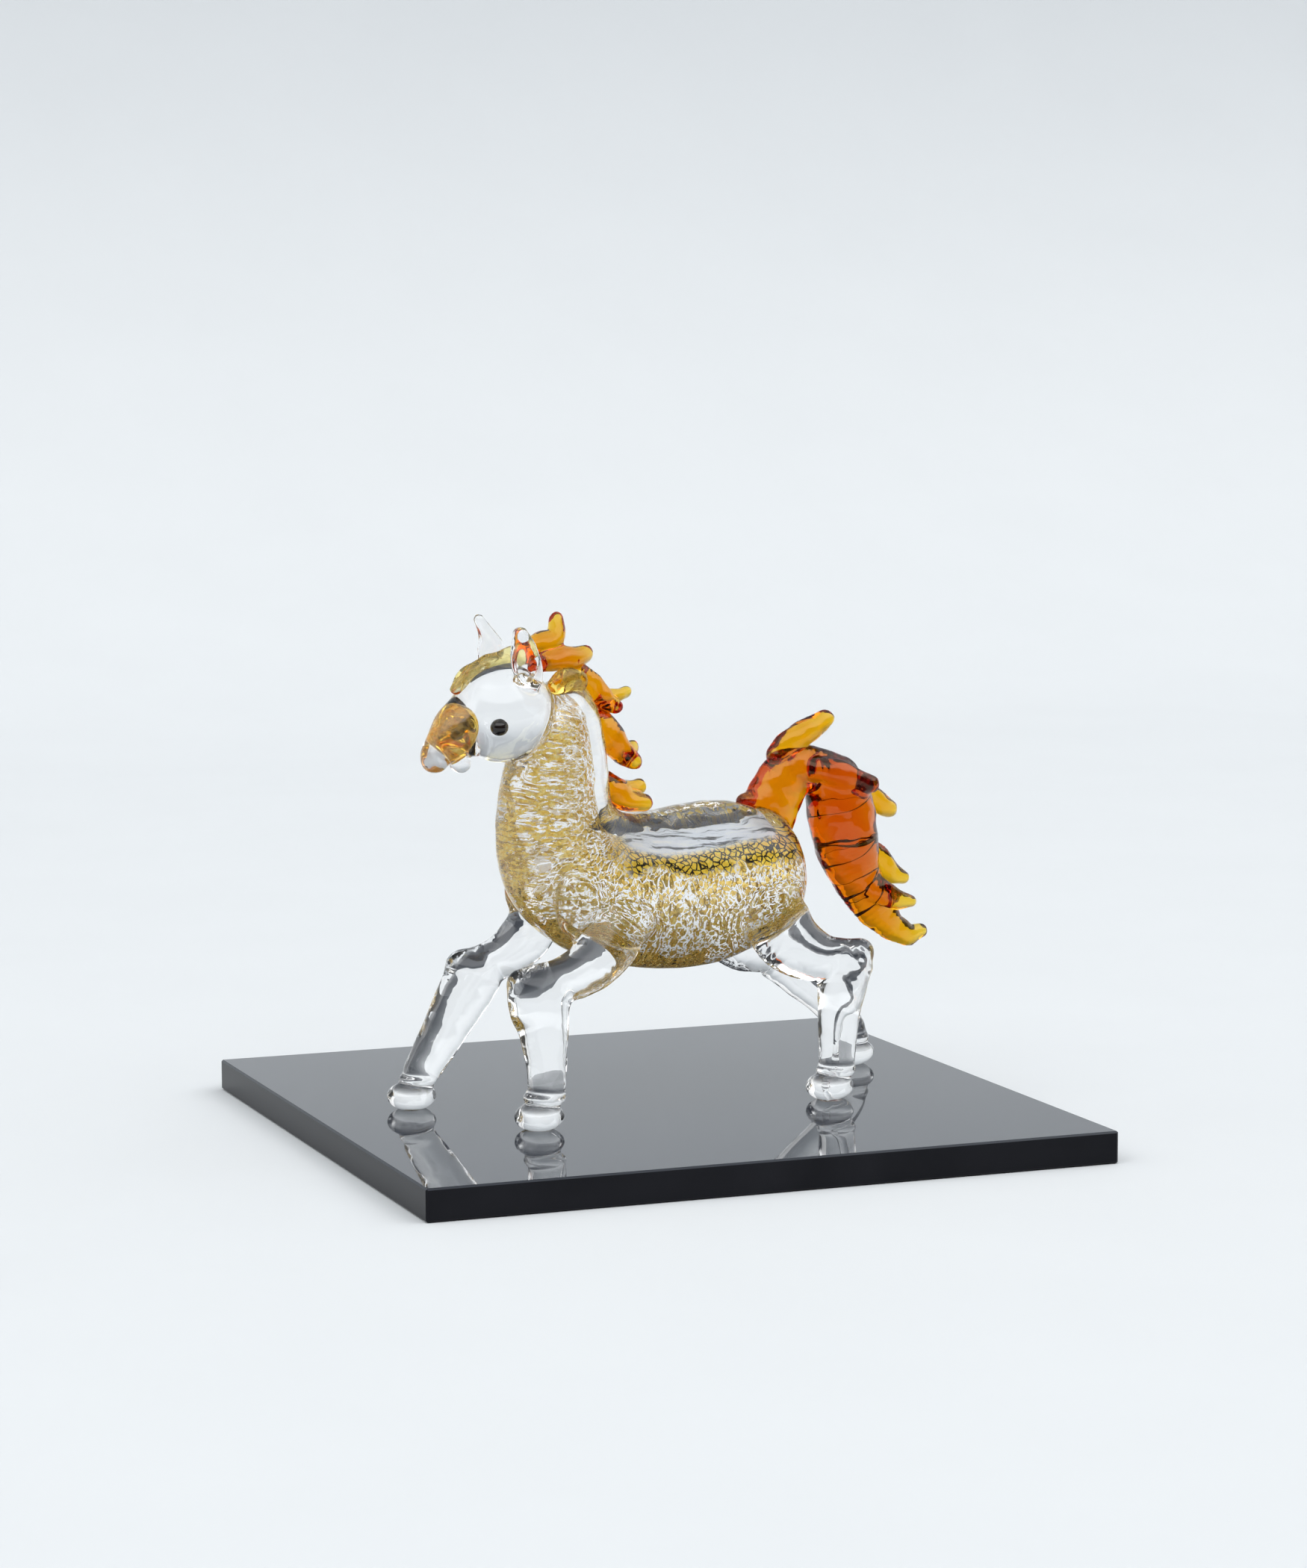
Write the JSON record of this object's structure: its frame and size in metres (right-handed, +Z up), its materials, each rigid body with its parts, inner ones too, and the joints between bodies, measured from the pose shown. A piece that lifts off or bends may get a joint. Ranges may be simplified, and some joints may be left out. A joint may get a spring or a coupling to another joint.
{
  "type": "glass horse figurine",
  "caption": "Ornamental clear glass horse with a gold-foil body and amber mane and tail, mid-trot on a square glossy black display plate.",
  "frame": {"origin": "middle of the display plate's underside, which is the bottom centre of the whole object", "axes": "+Z up out of the plate; X and Y along the plate's sides, with the head to -X and the horse's left side to -Y; the horse's midline is turned 6.7 degrees from X"},
  "size_m": [0.11, 0.11, 0.0826],
  "materials": {
    "black_acrylic": "polished",
    "clear_glass": "fire polished",
    "gold_foil": "crackled gold leaf under clear glass",
    "amber_glass": "fire polished",
    "deep_amber_glass": "fire polished",
    "black_glass": "fire polished"
  },
  "bodies": {
    "plate": {"display_plate": "black_acrylic"},
    "horse": {"body_casing": "clear_glass", "foil_core": "gold_foil", "head_ball": "clear_glass", "muzzle": "clear_glass", "nose_bead": "clear_glass", "chin_bead": "clear_glass", "eye_left": "black_glass", "eye_right": "black_glass", "ear_left": "clear_glass", "ear_right": "clear_glass", "forelock": "amber_glass", "mane_lock_1": "amber_glass", "mane_lock_2": "amber_glass", "mane_lock_3": "amber_glass", "mane_lock_4": "amber_glass", "mane_lock_5": "amber_glass", "mane_patch": "amber_glass", "fore_left_upper": "clear_glass", "fore_left_lower": "clear_glass", "fore_left_hoof": "clear_glass", "fore_right_upper": "clear_glass", "fore_right_lower": "clear_glass", "fore_right_hoof": "clear_glass", "hind_left_upper": "clear_glass", "hind_left_lower": "clear_glass", "hind_left_hoof": "clear_glass", "hind_right_upper": "clear_glass", "hind_right_lower": "clear_glass", "hind_right_hoof": "clear_glass", "tail_root": "deep_amber_glass", "tail_drop": "deep_amber_glass", "tail_bead": "deep_amber_glass", "tail_prong_1": "amber_glass", "tail_prong_2": "deep_amber_glass", "tail_prong_3": "amber_glass", "tail_prong_4": "amber_glass", "tail_prong_5": "deep_amber_glass"}
  },
  "joints": [
    {"name": "horse_lift", "type": "slide", "parent": "plate", "child": "horse", "axis": [0, 0, 1], "range_m": [0, 0.08]}
  ]
}
